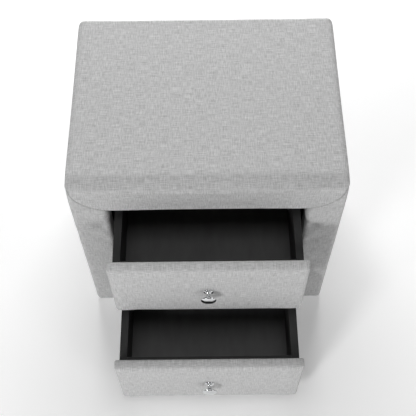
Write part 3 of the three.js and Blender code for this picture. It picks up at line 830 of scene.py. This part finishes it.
FRONT_EDGE, REAR_EDGE, TURNED_IN = 5.5 * MM, 2 * MM, 20 * MM
FRONT_STEP, FRONT_PATTERN = 4 * MM, 3.3
DIMPLE, DIMPLE_REACH, FOOT_RADIUS = 1.6 * MM, 12 * MM, 11 * MM
for number, drawer in enumerate(DRAWERS):
    low, high = (np.array(corner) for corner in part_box(f"{drawer}_front_cover"))
    body = box_grid(Vector(low), Vector(high), FRONT_STEP)
    inside = [
        face for face in body.faces
        if face.normal.y > 0.9
        and abs(face.calc_center_median().x) < high[0] - TURNED_IN
        and low[2] + TURNED_IN < face.calc_center_median().z < high[2] - TURNED_IN
    ]
    bmesh.ops.delete(body, geom=inside, context="FACES")
    piece_name = f"{drawer}_padded_front"
    mesh = bpy.data.meshes.new(piece_name)
    body.to_mesh(mesh)
    body.free()
    cover = bpy.data.objects.new(piece_name, mesh)
    bpy.context.scene.collection.objects.link(cover)
    mesh.materials.append(linen)
    p = vertex_array(mesh)
    depth = p[:, 1] - low[1]
    from_face = np.clip(depth / (high[1] - low[1]), 0, 1)
    wrap_x = np.sign(p[:, 0]) * np.where(np.abs(p[:, 0]) > high[0] - 1e-6, depth, 0)
    wrap_z = np.sign(p[:, 2] - low[2] - 1e-3) * np.where(
        (p[:, 2] > high[2] - 1e-6) | (p[:, 2] < low[2] + 1e-6), depth, 0,
    )
    keep_threads(cover, np.stack([p[:, 0] + wrap_x + FRONT_PATTERN + number, p[:, 2] + wrap_z], 1))
    radius = FRONT_EDGE + (REAR_EDGE - FRONT_EDGE) * from_face
    core = np.clip(p, low + radius[:, None], high - radius[:, None])
    away = p - core
    length = np.maximum(np.linalg.norm(away, axis=1), 1e-9)[:, None]
    shaped = core + away / length * radius[:, None]
    on_flat = (np.abs(away) > 1e-9).sum(1) <= 1
    shaped = np.where(on_flat[:, None], p, shaped)
    from_sides = high[0] - np.abs(shaped[:, 0])
    edge = np.minimum(from_sides, np.minimum(shaped[:, 2] - low[2], high[2] - shaped[:, 2]))
    on_face = shaped[:, 1] < low[1] + 0.5 * MM
    shaped[:, 1] -= unevenness(shaped + number, 0.6, 70) * np.clip(edge / SEAM_CALM, 0, 1) * on_face
    place_points(mesh, shaped)
    mesh.shade_smooth()
    held = np.where(from_face > 0.55, 1.0, 0.0)
    stuff(cover, held, 1.6)
    knob_low, knob_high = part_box(f"{drawer}_knob")
    foot_z = (knob_low.z + knob_high.z) / 2
    p = vertex_array(mesh)
    from_knob = np.hypot(p[:, 0], p[:, 2] - foot_z)
    p[:, 1] += np.where(p[:, 1] < low[1] + 4 * MM, DIMPLE * np.exp(-(from_knob / DIMPLE_REACH) ** 2), 0)
    under_foot = (from_knob < FOOT_RADIUS) & (p[:, 1] < low[1] + 4 * MM)
    p[:, 1] = np.where(under_foot, np.maximum(p[:, 1], low[1] + 0.1 * MM), p[:, 1])
    place_points(mesh, p)
    finish_cover(cover)
    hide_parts(f"{drawer}_front_cover")
    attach(cover, drawer)

# ---- Knobs and their screws ----
# Turned zinc knobs, polished and chrome-plated: mirror-bright, with faint handling marks.
chrome, tree = new_material("polished_chrome")
smears = grain(tree, (6, 6, 6), 3)
rough = add(tree, "MapRange", {0: smears, 3: 0.03, 4: 0.1}).outputs[0]
close_material(tree, base_color=ramp(tree, smears, "d8dadb", "e4e5e6"), metallic=1.0, roughness=rough)

zinc, tree = new_material("zinc_plated_steel")
close_material(
    tree, base_color=ramp(tree, grain(tree, (2, 2, 2)), "a3a69f", "bfc1bb"), metallic=1.0, roughness=0.35,
)


def curve(points, steps=8):
    """A smooth line through (radius, height) points, as a Catmull-Rom spline."""
    p = np.array([points[0], *points, points[-1]], float)
    out = []
    for a, b, c, d in zip(p, p[1:], p[2:], p[3:]):
        for t in np.linspace(0, 1, steps, endpoint=False):
            out.append(0.5 * (
                2 * b + (c - a) * t + (2 * a - 5 * b + 4 * c - d) * t ** 2 + (3 * b - a - 3 * c + d) * t ** 3
            ))
    return [tuple(q) for q in out] + [points[-1]]


KNOB_CURVE = [
    (9.5, 1.2), (8.8, 2.5), (6.2, 4.1), (4.4, 6.2), (4.0, 8.4), (4.8, 11.0), (7.6, 13.5),
    (11.6, 15.4), (13.8, 16.5), (14.3, 17.8), (13.6, 19.1), (11.2, 20.5), (6.6, 22.0), (0.0, 22.6),
]
KNOB = [(0, 0.3), (9.2, 0.3)] + curve(KNOB_CURVE)
SCREW_CORNERS = [(0, 2.6), (1.4, 2.4), (3.4, 1.9), (4.2, 0.6), (4.2, 0), (2, 0), (2, -22), (0, -22)]
SCREW = rounded_profile(SCREW_CORNERS, 0.4)
for drawer in DRAWERS:
    low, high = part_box(f"{drawer}_knob")
    middle = (low + high) / 2
    foot = (middle.x, high.y + 0.3 * MM, middle.z)
    knob = turned(f"{drawer}_turned_knob", KNOB, chrome, foot, (0, -1, 0), 96)
    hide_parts(f"{drawer}_knob")
    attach(knob, drawer)
    low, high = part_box(f"{drawer}_knob_screw")
    screw = turned(
        f"{drawer}_knob_machine_screw", SCREW, zinc, (middle.x, high.y - 2.6 * MM, middle.z), (0, 1, 0), 48,
    )
    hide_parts(f"{drawer}_knob_screw")
    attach(screw, drawer)

# ---- Studio ----
# A white floor that glows faintly, so that it stays white. A small key light and a wider fill
# stand in front, a soft box hangs overhead, and two more behind light the top.
floor_material, tree = new_material("white_studio_floor")
close_material(
    tree, base_color=linear("fcfcfc"), roughness=0.8, emission_color=linear("ffffff"), emission_strength=0.18,
)
WIDE = 20
corners = [(-WIDE, -WIDE, 0), (WIDE, -WIDE, 0), (WIDE, WIDE, 0), (-WIDE, WIDE, 0)]
floor = mesh_piece("floor", corners, [(0, 1, 2, 3)], floor_material)

world = bpy.data.worlds.new("studio")
bpy.context.scene.world = world
world.use_nodes = True
world.node_tree.nodes["Background"].inputs["Color"].default_value = linear("ffffff")
world.node_tree.nodes["Background"].inputs["Strength"].default_value = 0.06


def area_light(name, place, size, power, aim=(0, -0.1, 0.3)):
    lamp = bpy.data.objects.new(name, bpy.data.lights.new(name, "AREA"))
    lamp.data.shape = "RECTANGLE"
    lamp.data.size, lamp.data.size_y = size
    lamp.data.energy = power
    lamp.location = place
    lamp.rotation_euler = (Vector(aim) - Vector(place)).to_track_quat("-Z", "Y").to_euler()
    bpy.context.scene.collection.objects.link(lamp)


def from_front(azimuth, elevation, distance):
    """A place round the nightstand: azimuth 0 is in front, and positive is to the right."""
    a, e = math.radians(azimuth), math.radians(elevation)
    return (
        distance * math.sin(a) * math.cos(e), -0.1 - distance * math.cos(a) * math.cos(e),
        0.3 + distance * math.sin(e),
    )


area_light("overhead", (0, -0.5, 2.6), (1.6, 0.8), 8)
area_light("rear", (0, 1.7, 2.2), (1.6, 1.0), 21)
area_light("low_rear", (0, 2.3, 1.15), (2.0, 0.6), 46)
area_light("key", from_front(-30, 25, 2.4), (0.4, 0.4), 19)
area_light("fill", from_front(38, 14, 2.4), (0.7, 0.7), 8.5)

bpy.context.scene.view_settings.view_transform = "Standard"
